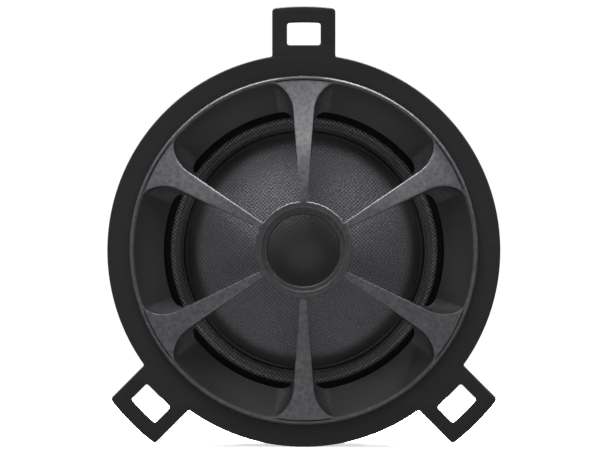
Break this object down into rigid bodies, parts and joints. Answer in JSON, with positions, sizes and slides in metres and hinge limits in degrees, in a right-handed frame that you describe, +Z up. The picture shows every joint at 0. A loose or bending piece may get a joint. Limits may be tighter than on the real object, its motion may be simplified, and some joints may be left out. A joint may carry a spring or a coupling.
{
  "type": "car tweeter",
  "caption": "Soft-dome car tweeter: spoked grille with a hub ring over a woven dome, flat bracket with slotted tabs, and a closed rear chamber with blade terminals.",
  "frame": {"origin": "on the driver's axis, at the rear (mounting) face of the flange", "axes": "-Y out of the grille towards the listener, +Z up through the single top tab, +X to the right of a person looking at the grille"},
  "size_m": [0.0438, 0.0295, 0.0491],
  "materials": {
    "bracket_abs": "smooth moulded black ABS, satin",
    "grille_abs": "fine-textured moulded charcoal ABS",
    "dome_cloth": "coated plain-weave textile, semi-gloss",
    "surround_cloth": "coarse doped cloth, slightly shiny",
    "carrier_abs": "moulded black ABS, matt",
    "foam": "closed-cell foam",
    "former_film": "amber polyimide film",
    "enamelled_copper": "enamelled copper wire, wound",
    "tinsel": "braided tinsel",
    "eyelet_brass": "stamped brass",
    "felt": "pressed wool felt",
    "zinc_steel": "zinc-plated turned steel",
    "copper": "drawn copper",
    "nickel_plate": "nickel-plated sintered magnet",
    "housing_abs": "spark-textured moulded black ABS",
    "wadding": "loose polyester fibre",
    "seal_rubber": "matt rubber",
    "screw_steel": "black zinc-plated steel",
    "laminate": "brown paper-phenolic laminate",
    "tinned_brass": "tin-plated stamped brass",
    "rivet_brass": "tumbled brass",
    "red_pvc": "extruded PVC insulation",
    "black_pvc": "extruded PVC insulation",
    "capacitor_sleeve": "heat-shrunk PVC sleeve",
    "tinned_wire": "tinned copper wire",
    "glue": "set hot-melt adhesive",
    "solder": "reflowed solder",
    "label_film": "plain film label"
  },
  "bodies": {
    "chassis": {"mounting_bracket": "bracket_abs", "front_grille": "grille_abs", "surround": "surround_cloth", "diaphragm_ring": "carrier_abs", "diaphragm_gasket": "foam", "lead_positive": "tinsel", "lead_negative": "tinsel", "lead_eyelets": "eyelet_brass", "damping_felt": "felt", "pole_plate": "zinc_steel", "copper_cap": "copper", "ring_magnet": "nickel_plate", "yoke_cup": "zinc_steel", "rear_housing": "housing_abs", "chamber_wadding": "wadding", "housing_seal": "seal_rubber", "housing_screws": "screw_steel", "terminal_board": "laminate", "terminal_positive": "tinned_brass", "terminal_negative": "tinned_brass", "junction_lug": "tinned_brass", "terminal_rivets": "rivet_brass", "jumper_positive": "red_pvc", "jumper_negative": "black_pvc", "highpass_capacitor": "capacitor_sleeve", "capacitor_leads": "tinned_wire", "capacitor_glue": "glue", "solder_joints": "solder", "blank_label": "label_film"},
    "diaphragm": {"dome_diaphragm": "dome_cloth", "voice_coil_former": "former_film", "voice_coil_winding": "enamelled_copper"}
  },
  "joints": [
    {"name": "dome_stroke", "type": "slide", "parent": "chassis", "child": "diaphragm", "axis": [0, -1, 0], "range_m": [-0.0005, 0.0005], "stiffness_N_per_m": 2000, "deforming": ["surround", "lead_positive", "lead_negative"]}
  ]
}
